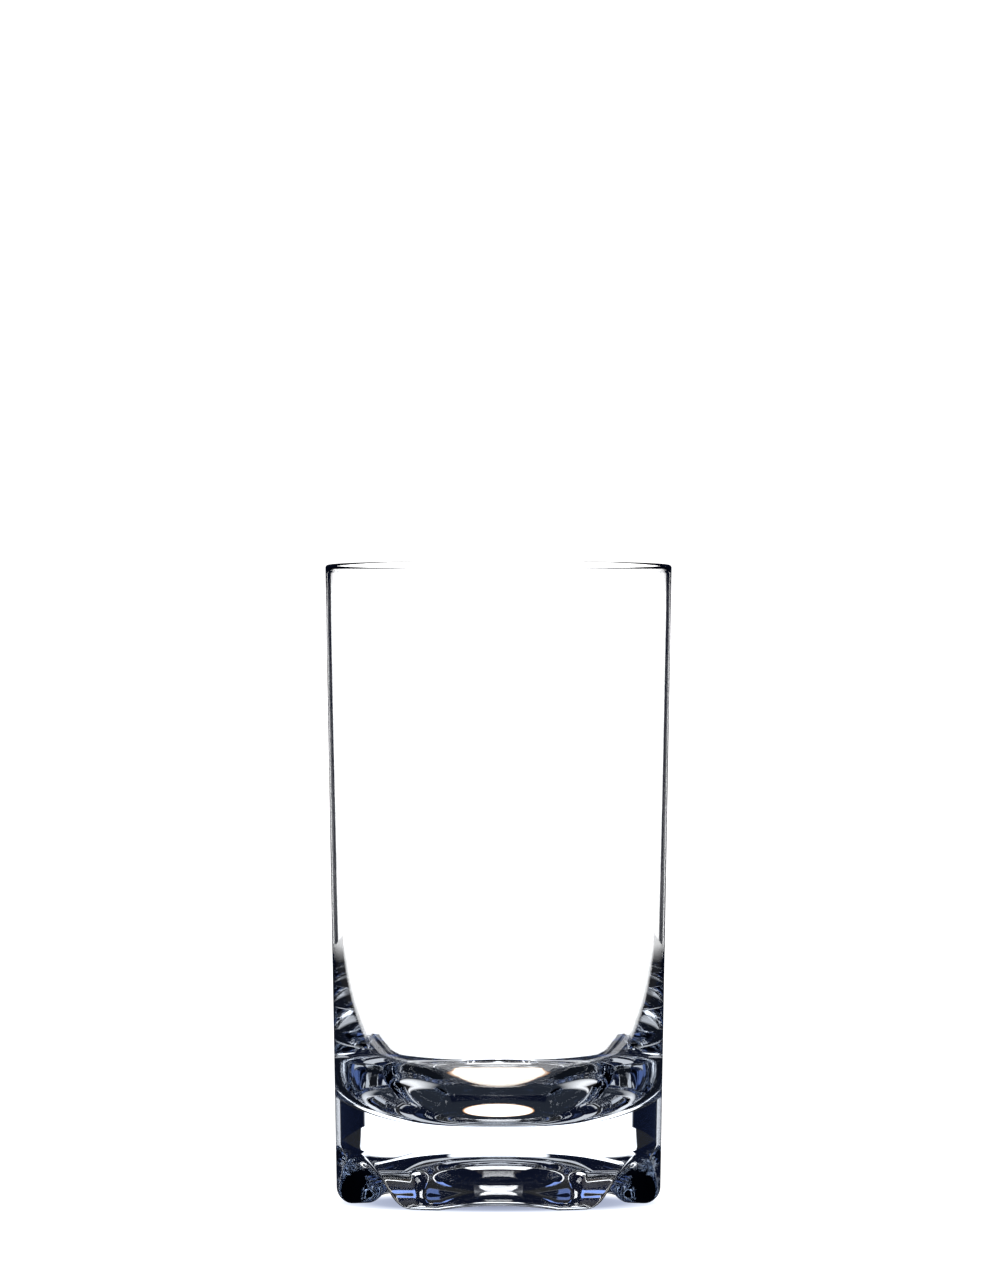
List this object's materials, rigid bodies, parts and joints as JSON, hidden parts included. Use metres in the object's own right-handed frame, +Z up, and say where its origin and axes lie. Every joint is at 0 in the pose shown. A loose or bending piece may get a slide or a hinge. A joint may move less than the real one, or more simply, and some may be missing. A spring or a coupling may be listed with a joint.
{
  "type": "whiskey tumbler",
  "caption": "Clear straight-sided whiskey tumbler with a thin rim, a thick solid base and a lobed foot with arched notches.",
  "frame": {"origin": "centre of the contact plane under the foot, on the vessel's axis", "axes": "+Z runs up the axis to the rim; one lobe of the foot faces -Y, and a notch faces +Y"},
  "size_m": [0.07, 0.07, 0.129],
  "materials": {
    "clear_glass": "fire-polished, clear, faintly blue in the thick base"
  },
  "bodies": {
    "root": {"tumbler": "clear_glass"}
  },
  "joints": []
}
